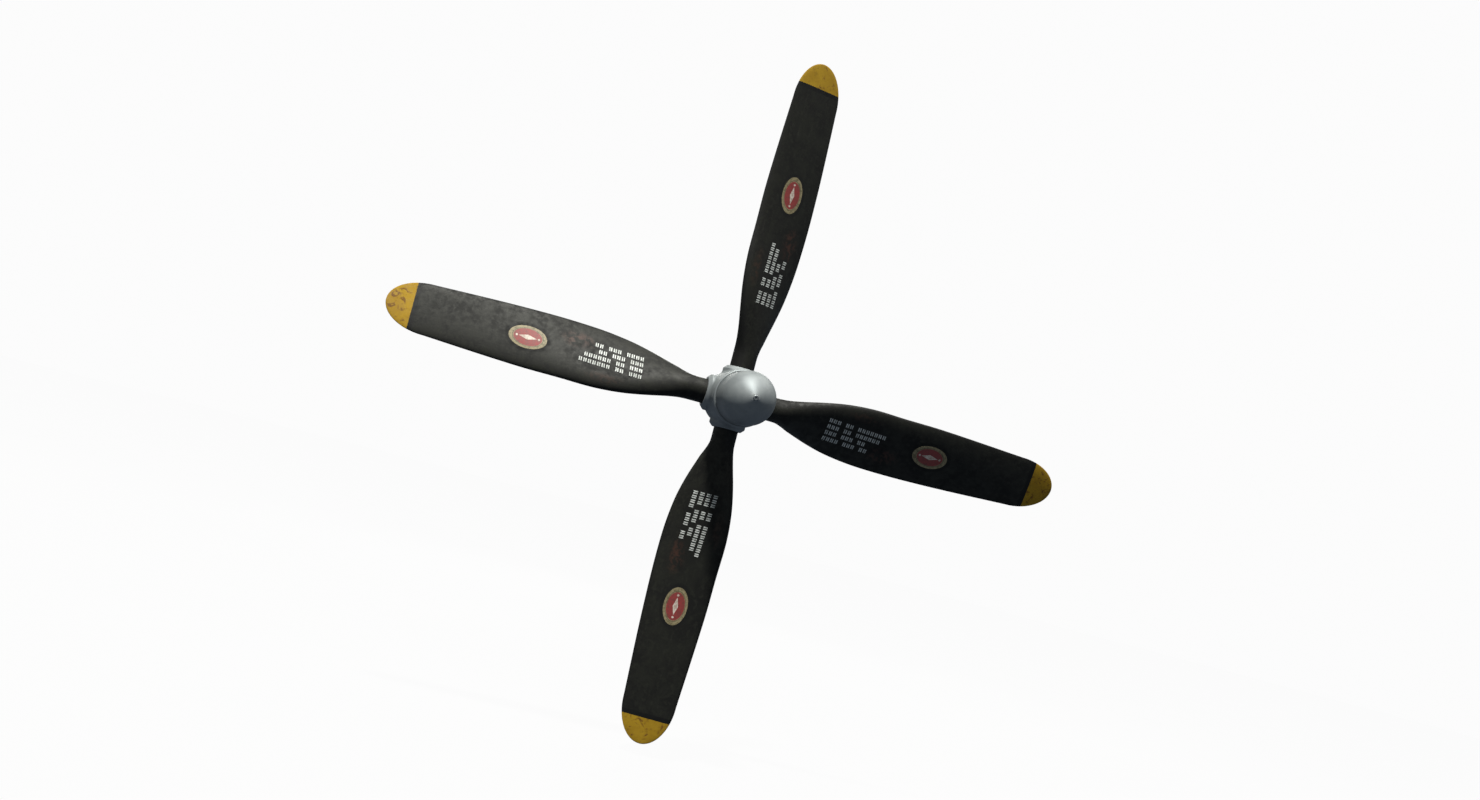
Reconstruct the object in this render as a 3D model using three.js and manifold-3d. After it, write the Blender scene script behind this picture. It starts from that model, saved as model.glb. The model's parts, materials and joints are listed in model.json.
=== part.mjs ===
// Four-blade controllable-pitch aircraft propeller with a hydraulic dome.
// Millimetres, +Z up. The shaft axis is Y and the dome points along -Y. The blades lie along +X, +Z, -X
// and -Z, and the origin is where their axes cross the shaft's. "Forward" is the distance ahead of that
// point along -Y, and "out" is the distance from it along a blade's own axis.
import * as THREE from "three";
import { ParametricGeometry } from "three/addons/geometries/ParametricGeometry.js";
import { mergeVertices } from "three/addons/utils/BufferGeometryUtils.js";
import Module from "manifold-3d";

// ---- Driving dimensions ----

const TIP_RADIUS = 1854;
const BLADES = 4;
const GAP = 0.3; // between pieces that touch
const PLAY = 0.5; // around pieces that turn or slide
const PAST = 1; // how far a cutter reaches past the face it cuts
const WELD = 1e-3;
const WIDE_SEGMENTS = 36;
const ARM_SEGMENTS = 24;
const RING_SEGMENTS = 16;
const PIN_SEGMENTS = 12;
const QUARTER = Math.PI / 2;

// Blade: chord to each side of the blade axis, thickness and pitch angle, by fraction of the tip radius.
const SHANK_RADIUS = 65;
const SHANK_END = 0.12;
const AEROFOIL_START = 0.4;
const TIP_START = 0.88;
const LEADING_CHORD = [
  [0.12, 65], [0.135, 66], [0.155, 74], [0.18, 88], [0.25, 125], [0.32, 149], [0.4, 157], [0.5, 148],
  [0.62, 141], [0.88, 112],
];
const TRAILING_CHORD = [
  [0.12, 65], [0.135, 68], [0.155, 84], [0.18, 108], [0.25, 155], [0.32, 184], [0.42, 198], [0.62, 191],
  [0.88, 170],
];
const THICKNESS = [
  [0.12, 130], [0.14, 129], [0.2, 104], [0.3, 67], [0.4, 45], [0.6, 26], [0.8, 16], [1, 7],
];
const PITCH_DEGREES = [
  [0.12, 41], [0.14, 40.7], [0.25, 35.5], [0.45, 26.5], [0.575, 22], [0.75, 19], [1, 17],
];
const FRONT_CAMBER = 0.78; // share of the thickness ahead of the chord line
const FULLNESS = 0.35; // moves the thickest point towards the leading edge
const SECTION_POINTS = 16;
const BLADE_STATIONS = [
  SHANK_END, 0.14, 0.165, 0.19, 0.22, 0.26, 0.31, 0.38, 0.46, 0.56, 0.68, 0.8, TIP_START,
  0.93, 0.965, 0.99, 1,
];

// Blade root, along the blade's axis.
const BUTT = { boss: 56, inner: 88.3, radius: 76, flange: 94, outer: 104 };
const BLADE_BORE = { radius: 38, end: 250 };
const BUSHING = { inner: 34.5, outer: 37.6, start: 89, end: 240 };
const WASHER = { inner: 66.5, outer: 75, start: 104.3, end: 108.7 };
const BEARING = { inner: 67.5, outer: 76, start: 109.2, end: 127.2 };
const SEAL = { inner: 66.6, outer: 73.6, start: 148.3, end: 155.7 };

// Spider: the forging that the blades turn on.
const SPIDER = { radius: 72, rear: -112, shoulder: 34, front: 50, frontRadius: 64 };
const SPIDER_ARM = { radius: 33.5, end: 228 };
const SPIDER_SEAL = { rear: -102, front: -92 };
const SPLINE = { count: 16, minor: 46, major: 49.5, rear: -80, front: 22 };
const REAR_SEAT_RADIUS = 61;
const FRONT_SEAT_RADIUS = 57;

// What clamps the spider to the engine's shaft.
const REAR_CONE = { inner: 44, rear: -106, front: -81 };
const FRONT_CONE = { inner: 44, outer: 56.2, rear: 22.3, front: 34 };
const SHAFT_NUT = { inner: 43, outer: 54, rear: 34.4, front: 76, hexRear: 54 };

// Barrel: the two-piece housing round the spider.
const BODY = { radius: 150, rear: -104, front: 172, rearFace: 112, chamfer: 26 };
const COLLAR = { radius: 96, faceRadius: 78, end: 165, chamfer: 18, cavity: 77.5, shelf: 127.5, lip: 66.5 };
const SEAL_GROOVE = { radius: 74.6, start: 148, end: 156 };
const CAVITY = { radius: 116, rear: -88, shelf: 126 };
const NECK_BORE = 145;
const SHAFT_HOLE = 76;
const BOLT = {
  circle: 135, fromDiagonal: THREE.MathUtils.degToRad(5.4), radius: 6, head: 9.5, headDepth: 11.5,
  seat: -66, end: 55, headRoom: 10.8, endRoom: 57,
};

// Dome and what holds it.
const DOME = {
  radius: 140.5, wall: 6, flange: 144.5, rear: 138, flangeFront: 148.7, shoulder: 345, noseBulge: 455,
  tip: 512,
};
const NOSE_STEPS = 5;
const DOME_SEAL = { rear: 126.4, front: 137.6 };
const PLUG = { radius: 11, head: 15, chamfer: 3, tip: 520 };
const NUT = { inner: 141, thread: 144.5, head: 150, rear: 149, shoulder: 172.3, front: 210, chamfer: 6 };

// Pitch-changing mechanism.
const LOW_TO_HIGH_PITCH = THREE.MathUtils.degToRad(42);
const BLADE_GEAR = { teeth: 24, pitch: 66, hub: 57, bore: 46 };
const CAM_GEAR = { teeth: 32, pitch: 88, bore: 72 };
const GEAR_SMALL_END = 92 / 110; // of the large end, towards the point where the axes cross
const TOOTH = { addendum: 4.2, dedendum: 6.4, share: 0.44, flank: Math.tan(THREE.MathUtils.degToRad(20)) };
const CAM_TURN = (LOW_TO_HIGH_PITCH * BLADE_GEAR.teeth) / CAM_GEAR.teeth;
const TURNING_CAM = { inner: 70, outer: 84, neck: 73.5, rear: 60, shoulder: 70, front: 250 };
const CAM_BEARINGS = { rear: [128, 138], front: [240, 249] };
const FIXED_CAM = { inner: 92, outer: 101, flange: 140, rear: 126.3, flangeFront: 137.7, front: 250 };
const PISTON_TRAVEL = 60;
const PISTON = {
  skirt: 150, rear: 262, front: 280, radius: 133.8, bore: 25.8, inner: [58, 64], outer: [104, 110],
  groove: { radius: 127.7, rear: 267, front: 275 },
};
const ROLLER = {
  radius: 11, shaft: 5, forward: 165, inner: 67, outer: 103, shaftInner: 58.5, shaftOuter: 109.5,
};
const SLOT_HALF_WIDTH = ROLLER.radius + 2 * PLAY;
const VALVE = { bore: 15, radius: 25, flange: 46, rear: 80, flangeFront: 92, front: 365 };

const wasm = await Module();
wasm.setup();

// ---- Solids from geometries ----

function solid(geometry) {
  const bare = geometry.clone();
  bare.deleteAttribute("normal");
  bare.deleteAttribute("uv");
  const merged = mergeVertices(bare, WELD);
  return new wasm.Manifold(
    new wasm.Mesh({
      numProp: 3,
      vertProperties: merged.attributes.position.array,
      triVerts: new Uint32Array(merged.index.array),
    }),
  );
}

function surface(body) {
  const mesh = body.getMesh();
  const geometry = new THREE.BufferGeometry();
  geometry.setAttribute("position", new THREE.BufferAttribute(mesh.vertProperties, 3));
  geometry.setIndex(new THREE.BufferAttribute(mesh.triVerts, 1));
  geometry.computeVertexNormals();
  return geometry;
}

const union = (first, ...others) => others.reduce((whole, next) => whole.add(solid(next)), solid(first));
const cut = (whole, ...tools) => tools.reduce((left, tool) => left.subtract(solid(tool)), whole);

// A profile of [radius, distance] points, turned about Y. One that doesn't start on the axis is closed.
function lathe(profile, segments) {
  const points = profile.map(([radius, distance]) => new THREE.Vector2(radius, distance));
  if (profile[0][0] > 0) points.push(points[0].clone());
  return new THREE.LatheGeometry(points, segments);
}

// Turned about the shaft axis, with distances measured forward.
const onShaft = (profile, segments = WIDE_SEGMENTS) => lathe(profile, segments).rotateX(Math.PI);

// Turned about the +X blade's axis, with distances measured out from the centre.
const onBlade = (profile, segments = ARM_SEGMENTS) => lathe(profile, segments).rotateZ(-QUARTER);

const tube = (inner, outer, start, end) => [[inner, start], [outer, start], [outer, end], [inner, end]];
const rod = (radius, start, end) => [[0, start], [radius, start], [radius, end], [0, end]];

// The same geometry at each of the four blades.
const atEachBlade = (geometry) =>
  Array.from({ length: BLADES }, (_, index) => geometry.clone().rotateY(-index * QUARTER));

// ---- Curves ----

// A smooth value between [place, value] pairs: a cubic with the mean slope at each pair.
function along(pairs, place) {
  const last = pairs.length - 1;
  const next = pairs.findIndex(([at]) => at >= place);
  if (next === 0) return pairs[0][1];
  if (next < 0) return pairs[last][1];
  const slope = (a, b) => (pairs[b][1] - pairs[a][1]) / (pairs[b][0] - pairs[a][0]);
  const span = pairs[next][0] - pairs[next - 1][0];
  const share = (place - pairs[next - 1][0]) / span;
  const slopeIn = slope(Math.max(next - 2, 0), next) * span;
  const slopeOut = slope(next - 1, Math.min(next + 1, last)) * span;
  const rise = pairs[next][1] - pairs[next - 1][1];
  const bend = share * (1 - share);
  return (
    pairs[next - 1][1] +
    rise * share * share * (3 - 2 * share) +
    bend * ((1 - share) * slopeIn - share * slopeOut)
  );
}

// ---- Blade ----

// A point on the blade's skin, at a fraction of the tip radius and an angle round the section.
function bladePoint(fraction, angle, target) {
  const pitch = THREE.MathUtils.degToRad(along(PITCH_DEGREES, fraction));
  const leading = along(LEADING_CHORD, fraction);
  const trailing = along(TRAILING_CHORD, fraction);
  const rounding = Math.sqrt(1 - Math.max(0, (fraction - TIP_START) / (1 - TIP_START)) ** 2);
  const thickness = along(THICKNESS, fraction) * Math.sqrt(rounding);
  const middle = (leading - trailing) / 2;
  const chord = middle + ((leading + trailing) / 2) * rounding * Math.cos(angle);
  const round = 0.5 * Math.sin(angle);
  const camber = Math.sin(angle) > 0 ? FRONT_CAMBER * (1 + FULLNESS * Math.cos(angle)) : 1 - FRONT_CAMBER;
  const aerofoil = THREE.MathUtils.smoothstep(fraction, SHANK_END, AEROFOIL_START);
  const height = thickness * THREE.MathUtils.lerp(round, camber * Math.sin(angle), aerofoil);
  const sideways = chord * Math.cos(pitch) - height * Math.sin(pitch);
  const forward = chord * Math.sin(pitch) + height * Math.cos(pitch);
  return target.set(fraction * TIP_RADIUS, -forward, sideways);
}

function bladeGeometry() {
  const { boss, inner, radius: butt, flange, outer } = BUTT;
  const root = [
    [0, inner], [boss, inner], [boss, flange], [butt, flange], [butt, outer], [SHANK_RADIUS, outer],
  ];
  const rows = root.length + BLADE_STATIONS.length - 1;
  return new ParametricGeometry(
    (turn, share, target) => {
      const angle = 2 * Math.PI * turn;
      const row = Math.round(share * rows);
      if (row >= root.length) return bladePoint(BLADE_STATIONS[row - root.length], angle, target);
      const [radius, out] = root[row];
      const pitch = THREE.MathUtils.degToRad(PITCH_DEGREES[0][1]);
      return target.set(out, -radius * Math.sin(angle + pitch), radius * Math.cos(angle + pitch));
    },
    SECTION_POINTS,
    rows,
  );
}

const blade = () =>
  surface(cut(solid(bladeGeometry()), onBlade(rod(BLADE_BORE.radius, 0, BLADE_BORE.end), RING_SEGMENTS)));

// ---- Bevel gears: their cones share the point where the axes cross ----

// The outline of a gear's large end. hasTooth says which teeth exist, so that a sector can be made.
function gearShape(gear, firstAngle, hasTooth = () => true) {
  const { teeth, pitch, bore, hub = pitch - TOOTH.dedendum } = gear;
  const step = (2 * Math.PI) / teeth;
  const halfTooth = TOOTH.share * step * pitch * 0.5;
  const at = (radius, angle) => new THREE.Vector2(radius * Math.cos(angle), radius * Math.sin(angle));
  const corner = (height) => {
    const radius = pitch + height;
    return [radius, (halfTooth - height * TOOTH.flank) / radius];
  };
  const [rootRadius, rootHalf] = corner(-TOOTH.dedendum);
  const [tipRadius, tipHalf] = corner(TOOTH.addendum);
  const outline = Array.from({ length: teeth }, (_, index) => {
    const middle = firstAngle + index * step;
    if (!hasTooth(index)) return [at(hub, middle - rootHalf), at(hub, middle + rootHalf)];
    return [
      at(rootRadius, middle - rootHalf),
      at(tipRadius, middle - tipHalf),
      at(tipRadius, middle + tipHalf),
      at(rootRadius, middle + rootHalf),
    ];
  }).flat();
  const shape = new THREE.Shape(outline);
  shape.holes.push(new THREE.Path().absarc(0, 0, bore, 0, 2 * Math.PI, true));
  return shape;
}

// A bevel gear along +Z, narrowing towards the origin from its large end at the given height.
function bevelGear(shape, height) {
  const slab = { depth: 1, bevelEnabled: false, curveSegments: PIN_SEGMENTS };
  const geometry = new THREE.ExtrudeGeometry(shape, slab);
  const position = geometry.attributes.position;
  for (let index = 0; index < position.count; index++) {
    const size = position.getZ(index) > 0.5 ? 1 : GEAR_SMALL_END;
    position.setXYZ(index, position.getX(index) * size, position.getY(index) * size, height * size);
  }
  return geometry;
}

// The teeth run round as far as the blade turns, with one tooth to spare at each end.
function bladeGear() {
  const step = (2 * Math.PI) / BLADE_GEAR.teeth;
  const last = Math.ceil(LOW_TO_HIGH_PITCH / step) + 1;
  const shape = gearShape(BLADE_GEAR, -QUARTER - last * step, (index) => index <= last + 1);
  return bevelGear(shape, CAM_GEAR.pitch).rotateY(QUARTER);
}

// ---- Cams ----

const SLOT_MARGIN = 12; // the slot cutters reach this far past the walls
const SLOT_END_STEPS = 6;
const SLOT_SIDE_STEPS = 5;
const rollerAngles = Array.from({ length: BLADES }, (_, index) => (index + 0.5) * QUARTER);

// A slot through a tube's wall, bent round it, from one [angle, forward] place to another. It has its full
// width at the inside of the wall, and its straight sides are divided so that they can bend.
function bentSlot({ inner, outer }, from, to) {
  const run = inner * (to[0] - from[0]);
  const lean = Math.atan2(to[1] - from[1], run);
  const roundEnd = (x, y, start) => {
    const arc = new THREE.EllipseCurve(x, y, SLOT_HALF_WIDTH, SLOT_HALF_WIDTH, start, start + Math.PI);
    return arc.getPoints(SLOT_END_STEPS);
  };
  const side = (a, b) => new THREE.LineCurve(a, b).getPoints(SLOT_SIDE_STEPS).slice(1, -1);
  const top = roundEnd(run, to[1], lean - QUARTER);
  const bottom = roundEnd(0, from[1], lean + QUARTER);
  const outline = [...top, ...side(top.at(-1), bottom[0]), ...bottom, ...side(bottom.at(-1), top[0])];
  const depth = outer - inner + 2 * SLOT_MARGIN;
  const geometry = new THREE.ExtrudeGeometry(new THREE.Shape(outline), { depth, bevelEnabled: false });
  const position = geometry.attributes.position;
  for (let index = 0; index < position.count; index++) {
    const angle = from[0] + position.getX(index) / inner;
    const radius = inner - SLOT_MARGIN + position.getZ(index);
    position.setXYZ(index, radius * Math.cos(angle), -position.getY(index), radius * Math.sin(angle));
  }
  return geometry;
}

function slots(cam, turn) {
  const end = ROLLER.forward + PISTON_TRAVEL;
  return rollerAngles.map((angle) => bentSlot(cam, [angle, ROLLER.forward], [angle + turn, end]));
}

function turningCam() {
  const gear = bevelGear(gearShape(CAM_GEAR, Math.PI / CAM_GEAR.teeth), BLADE_GEAR.pitch).rotateX(QUARTER);
  const { inner, outer, neck, rear, shoulder, front } = TURNING_CAM;
  const sleeve = [[inner, rear], [neck, rear], [outer, shoulder], [outer, front], [inner, front]];
  const whole = union(gear, onShaft(sleeve, ARM_SEGMENTS));
  return surface(cut(whole, ...slots(TURNING_CAM, CAM_TURN)));
}

function fixedCam() {
  const { inner, outer, flange, rear, flangeFront, front } = FIXED_CAM;
  const profile = [
    [inner, rear], [flange, rear], [flange, flangeFront],
    [outer, flangeFront], [outer, front], [inner, front],
  ];
  return surface(cut(solid(onShaft(profile, ARM_SEGMENTS)), ...slots(FIXED_CAM, 0)));
}

// ---- Piston ----

function piston() {
  const { skirt, rear, front, radius, bore, inner, outer, groove } = PISTON;
  const profile = [
    [bore, rear], [inner[0], rear], [inner[0], skirt], [inner[1], skirt], [inner[1], rear],
    [outer[0], rear], [outer[0], skirt], [outer[1], skirt], [outer[1], rear],
    [radius, rear], [radius, groove.rear], [groove.radius, groove.rear],
    [groove.radius, groove.front], [radius, groove.front], [radius, front], [bore, front],
  ];
  const hole = onBlade(rod(ROLLER.shaft + PLAY, inner[0] - PAST, outer[1] + PAST), PIN_SEGMENTS);
  hole.translate(0, -ROLLER.forward, 0);
  const holes = rollerAngles.map((angle) => hole.clone().rotateY(-angle));
  return surface(cut(solid(onShaft(profile)), ...holes));
}

// ---- Spider ----

function splineCutter() {
  const step = (2 * Math.PI) / SPLINE.count;
  const outline = Array.from({ length: SPLINE.count * 4 }, (_, index) => {
    const angle = Math.floor(index / 4) * step + ((index % 4) * step) / 4;
    const radius = index % 4 < 2 ? SPLINE.major : SPLINE.minor;
    return new THREE.Vector2(radius * Math.cos(angle), radius * Math.sin(angle));
  });
  const depth = SPLINE.front - SPLINE.rear + 2 * PAST;
  const geometry = new THREE.ExtrudeGeometry(new THREE.Shape(outline), { depth, bevelEnabled: false });
  return geometry.rotateX(QUARTER).translate(0, PAST - SPLINE.rear, 0);
}

function spider() {
  const { radius, rear, shoulder, front, frontRadius } = SPIDER;
  const hub = onShaft([
    [0, rear], [radius, rear], [radius, shoulder],
    [frontRadius, shoulder], [frontRadius, front], [0, front],
  ]);
  const arms = atEachBlade(onBlade(rod(SPIDER_ARM.radius, 0, SPIDER_ARM.end)));
  const rearSeat = onShaft([
    [0, rear - PAST], [REAR_SEAT_RADIUS, rear - PAST], [SPLINE.major, SPLINE.rear], [0, SPLINE.rear],
  ]);
  const frontSeat = onShaft(rod(FRONT_SEAT_RADIUS, SPLINE.front, front + PAST));
  return surface(cut(union(hub, ...arms), splineCutter(), rearSeat, frontSeat));
}

// ---- Barrel ----

// The bolts stand in pairs, one each side of the diagonals between the blades.
const boltAngles = rollerAngles.flatMap((angle) => [angle - BOLT.fromDiagonal, angle + BOLT.fromDiagonal]);

const atBolt = (geometry, angle) => geometry.clone().translate(BOLT.circle, 0, 0).rotateY(-angle);

function barrel() {
  const { radius, rear, front, rearFace, chamfer } = BODY;
  const body = onShaft([
    [0, rear], [rearFace, rear], [radius, rear + chamfer], [radius, front], [0, front],
  ]);
  const { end, faceRadius, cavity, shelf, lip } = COLLAR;
  const collar = onBlade([
    [0, 0], [COLLAR.radius, 0], [COLLAR.radius, end - COLLAR.chamfer], [faceRadius, end], [0, end],
  ]);
  const armRoom = onBlade([
    [0, 0], [cavity, 0], [cavity, shelf], [lip, shelf],
    [lip, SEAL_GROOVE.start], [SEAL_GROOVE.radius, SEAL_GROOVE.start],
    [SEAL_GROOVE.radius, SEAL_GROOVE.end], [lip, SEAL_GROOVE.end],
    [lip, end + PAST], [0, end + PAST],
  ]);
  const room = onShaft([
    [0, rear - PAST], [SHAFT_HOLE, rear - PAST], [SHAFT_HOLE, CAVITY.rear], [CAVITY.radius, CAVITY.rear],
    [CAVITY.radius, CAVITY.shelf], [NECK_BORE, CAVITY.shelf], [NECK_BORE, front + PAST], [0, front + PAST],
  ]);
  const boltHole = onShaft(
    [
      [0, rear - PAST], [BOLT.headRoom, rear - PAST], [BOLT.headRoom, BOLT.seat],
      [BOLT.radius + PLAY, BOLT.seat], [BOLT.radius + PLAY, BOLT.endRoom], [0, BOLT.endRoom],
    ],
    PIN_SEGMENTS,
  );
  const boltHoles = boltAngles.map((angle) => atBolt(boltHole, angle));
  return cut(union(body, ...atEachBlade(collar)), room, ...atEachBlade(armRoom), ...boltHoles);
}

// One side of the parting plane through the blade axes: ahead is 1 for the front half and -1 for the rear.
function barrelHalf(whole, ahead) {
  const size = 2 * TIP_RADIUS;
  const side = new THREE.BoxGeometry(size, size, size).translate(0, -ahead * (size / 2 + GAP / 2), 0);
  return surface(whole.intersect(solid(side)));
}

function boltGeometry() {
  const shank = onShaft(rod(BOLT.radius, BOLT.seat - PAST, BOLT.end), PIN_SEGMENTS);
  const head = onShaft(rod(BOLT.head, BOLT.seat - GAP - BOLT.headDepth, BOLT.seat - GAP), 6);
  return surface(union(head, shank));
}

// ---- Dome ----

// The nose outline from the cylinder to the tip, set in by the given depth.
function nose(depth, tipRadius) {
  const curve = new THREE.QuadraticBezierCurve(
    new THREE.Vector2(DOME.radius - depth, DOME.shoulder),
    new THREE.Vector2(DOME.radius - depth, DOME.noseBulge - depth),
    new THREE.Vector2(tipRadius, DOME.tip - depth),
  );
  return curve.getPoints(NOSE_STEPS).map((point) => [point.x, point.y]);
}

function dome() {
  const hole = PLUG.radius + GAP;
  return onShaft([
    [DOME.radius - DOME.wall, DOME.rear], [DOME.flange, DOME.rear], [DOME.flange, DOME.flangeFront],
    [DOME.radius, DOME.flangeFront], ...nose(0, PLUG.head + 1), [hole, DOME.tip],
    ...nose(DOME.wall, hole).reverse(),
  ]);
}

const domeNut = () =>
  onShaft([
    [NUT.inner, NUT.rear], [NUT.thread, NUT.rear], [NUT.thread, NUT.shoulder], [NUT.head, NUT.shoulder],
    [NUT.head, NUT.front - NUT.chamfer], [NUT.head - NUT.chamfer, NUT.front], [NUT.inner, NUT.front],
  ]);

const domePlug = () =>
  onShaft(
    [
      [0, DOME.tip - 2 * DOME.wall], [PLUG.radius, DOME.tip - 2 * DOME.wall], [PLUG.radius, DOME.tip + GAP],
      [PLUG.head, DOME.tip + GAP], [PLUG.head, PLUG.tip - PLUG.chamfer],
      [PLUG.head - PLUG.chamfer, PLUG.tip], [0, PLUG.tip],
    ],
    ARM_SEGMENTS,
  );

// ---- Shaft fittings ----

// The rear cone fits the taper at the back of the spider's bore.
function rearCone() {
  const taper = (REAR_SEAT_RADIUS - SPLINE.major) / (SPLINE.rear - SPIDER.rear + PAST);
  const seat = (forward) => SPLINE.major + taper * (SPLINE.rear - forward) - PLAY;
  const { inner, rear, front } = REAR_CONE;
  return onShaft([[inner, rear], [seat(rear), rear], [seat(front), front], [inner, front]], ARM_SEGMENTS);
}

function frontConeHalf(side) {
  const { inner, outer, rear, front } = FRONT_CONE;
  const whole = solid(onShaft(tube(inner, outer, rear, front)));
  const size = 4 * outer;
  const half = new THREE.BoxGeometry(size, size, size).translate(0, 0, side * (size / 2 + GAP));
  return surface(whole.intersect(solid(half)));
}

function shaftNut() {
  const { inner, outer, rear, front, hexRear } = SHAFT_NUT;
  const collar = onShaft(rod(outer, rear, hexRear + PAST), ARM_SEGMENTS);
  const hexagon = onShaft(rod(outer, hexRear, front), 6);
  const bore = onShaft(rod(inner, rear - PAST, front + PAST), ARM_SEGMENTS);
  return surface(cut(union(hexagon, collar), bore));
}

const valve = () =>
  onShaft(
    [
      [VALVE.bore, VALVE.rear], [VALVE.flange, VALVE.rear], [VALVE.flange, VALVE.flangeFront],
      [VALVE.radius, VALVE.flangeFront], [VALVE.radius, VALVE.front], [VALVE.bore, VALVE.front],
    ],
    ARM_SEGMENTS,
  );

// ---- Finishes ----

const finish = (color, roughness, metalness) => () =>
  new THREE.MeshStandardMaterial({ color, roughness, metalness });
const blackPaint = finish(0x1a1a18, 0.55, 0.1);
const greyPaint = finish(0x7d868a, 0.42, 0.25);
const steel = finish(0x8f9296, 0.35, 0.9);
const gearSteel = finish(0x6f7378, 0.3, 0.95);
const bronze = finish(0x9a7440, 0.4, 0.85);
const alloy = finish(0xb9bcc0, 0.38, 0.8);
const rubber = finish(0x151515, 0.85, 0);

// ---- Assembly ----

const propeller = new THREE.Group();

function place(parent, name, geometry, material) {
  const mesh = new THREE.Mesh(geometry, material());
  mesh.name = name;
  parent.add(mesh);
}

const camBearing = ([rear, front]) =>
  onShaft(tube(TURNING_CAM.outer + 2 * PLAY, FIXED_CAM.inner - GAP, rear, front), ARM_SEGMENTS);

const spiderSeal = () =>
  onShaft(tube(SPIDER.radius + GAP, SHAFT_HOLE - GAP, SPIDER_SEAL.rear, SPIDER_SEAL.front));

const domeSeal = () =>
  onShaft(tube(FIXED_CAM.flange + GAP, DOME.flange - GAP, DOME_SEAL.rear, DOME_SEAL.front), ARM_SEGMENTS);

function pistonRing() {
  const { radius, groove } = PISTON;
  return onShaft(tube(groove.radius + GAP, radius + GAP, groove.rear + GAP, groove.front - GAP));
}

const ring = (part) => onBlade(tube(part.inner, part.outer, part.start, part.end), RING_SEGMENTS);

for (let index = 0; index < BLADES; index++) {
  const number = index + 1;
  const station = new THREE.Group();
  station.rotation.y = -index * QUARTER;
  propeller.add(station);
  place(station, `blade_${number}`, blade(), blackPaint);
  place(station, `blade_bushing_${number}`, ring(BUSHING), bronze);
  place(station, `blade_gear_${number}`, bladeGear(), gearSteel);
  place(station, `thrust_washer_${number}`, ring(WASHER), steel);
  place(station, `thrust_bearing_${number}`, ring(BEARING), steel);
  place(station, `blade_seal_${number}`, ring(SEAL), rubber);
}

rollerAngles.forEach((angle, index) => {
  const spoke = new THREE.Group();
  spoke.rotation.y = -angle;
  spoke.position.y = -ROLLER.forward;
  propeller.add(spoke);
  const roller = tube(ROLLER.shaft + PLAY, ROLLER.radius, ROLLER.inner, ROLLER.outer);
  place(spoke, `cam_roller_${index + 1}`, onBlade(roller, PIN_SEGMENTS), steel);
  const shaft = rod(ROLLER.shaft, ROLLER.shaftInner, ROLLER.shaftOuter);
  place(spoke, `roller_shaft_${index + 1}`, onBlade(shaft, PIN_SEGMENTS), steel);
});

boltAngles.forEach((angle, index) => {
  place(propeller, `barrel_bolt_${index + 1}`, atBolt(boltGeometry(), angle), steel);
});

const wholeBarrel = barrel();
place(propeller, "barrel_front", barrelHalf(wholeBarrel, 1), greyPaint);
place(propeller, "barrel_rear", barrelHalf(wholeBarrel, -1), greyPaint);
place(propeller, "spider", spider(), steel);
place(propeller, "spider_seal", spiderSeal(), rubber);
place(propeller, "rear_cone", rearCone(), bronze);
place(propeller, "front_cone_upper", frontConeHalf(1), steel);
place(propeller, "front_cone_lower", frontConeHalf(-1), steel);
place(propeller, "shaft_nut", shaftNut(), steel);
place(propeller, "distributor_valve", valve(), alloy);
place(propeller, "fixed_cam", fixedCam(), gearSteel);
place(propeller, "turning_cam", turningCam(), gearSteel);
place(propeller, "cam_bearing_rear", camBearing(CAM_BEARINGS.rear), bronze);
place(propeller, "cam_bearing_front", camBearing(CAM_BEARINGS.front), bronze);
place(propeller, "piston", piston(), alloy);
place(propeller, "piston_ring", pistonRing(), rubber);
place(propeller, "dome_shell", dome(), greyPaint);
place(propeller, "dome_nut", domeNut(), greyPaint);
place(propeller, "dome_plug", domePlug(), steel);
place(propeller, "dome_seal", domeSeal(), rubber);

export default propeller;
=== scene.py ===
"""Looks for a four-blade controllable-pitch aircraft propeller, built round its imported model.

The shaft axis is Y with the dome towards -Y, and the blades lie along +X, +Z, -X and -Z. "Forward" is the
distance ahead of the blade axes, along -Y. "Out" is the distance from the shaft along a blade, and "across"
is the distance from the blade's own axis towards its leading edge. Shapes are in millimetres and become
metres where a mesh is made. Finishes, lights and the camera work in metres.
"""

import json
import math

import bmesh
import bpy
import numpy as np
from mathutils import Matrix, Vector


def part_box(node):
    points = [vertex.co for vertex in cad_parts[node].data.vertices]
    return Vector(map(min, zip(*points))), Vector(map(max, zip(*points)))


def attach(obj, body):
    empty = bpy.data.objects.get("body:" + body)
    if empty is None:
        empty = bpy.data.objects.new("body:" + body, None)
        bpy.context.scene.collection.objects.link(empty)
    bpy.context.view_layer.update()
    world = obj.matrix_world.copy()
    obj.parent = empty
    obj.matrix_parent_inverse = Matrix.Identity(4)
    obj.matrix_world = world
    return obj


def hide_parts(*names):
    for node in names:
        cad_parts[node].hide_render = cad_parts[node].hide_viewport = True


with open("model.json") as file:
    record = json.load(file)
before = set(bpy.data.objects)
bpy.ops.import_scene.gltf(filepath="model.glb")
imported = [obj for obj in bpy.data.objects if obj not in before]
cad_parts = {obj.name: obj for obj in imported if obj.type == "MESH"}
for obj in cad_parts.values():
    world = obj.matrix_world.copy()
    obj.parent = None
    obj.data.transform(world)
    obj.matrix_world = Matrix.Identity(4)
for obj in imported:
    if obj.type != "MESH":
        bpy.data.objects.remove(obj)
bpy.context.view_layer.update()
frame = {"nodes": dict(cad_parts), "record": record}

MM = 0.001
BLADES = 4
BOLTS = 8
QUARTER = math.pi / 2
HUB = "hub"
GAP = 0.3  # between pieces that touch

# ---- Sizes read from the frame, in millimetres ----


def corners_of(node):
    """The low and the high corner of a CAD node's box."""
    return [np.array(corner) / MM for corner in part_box(node)]


def front_of(node):
    """How far forward a CAD node reaches."""
    return -corners_of(node)[0][1]


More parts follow.
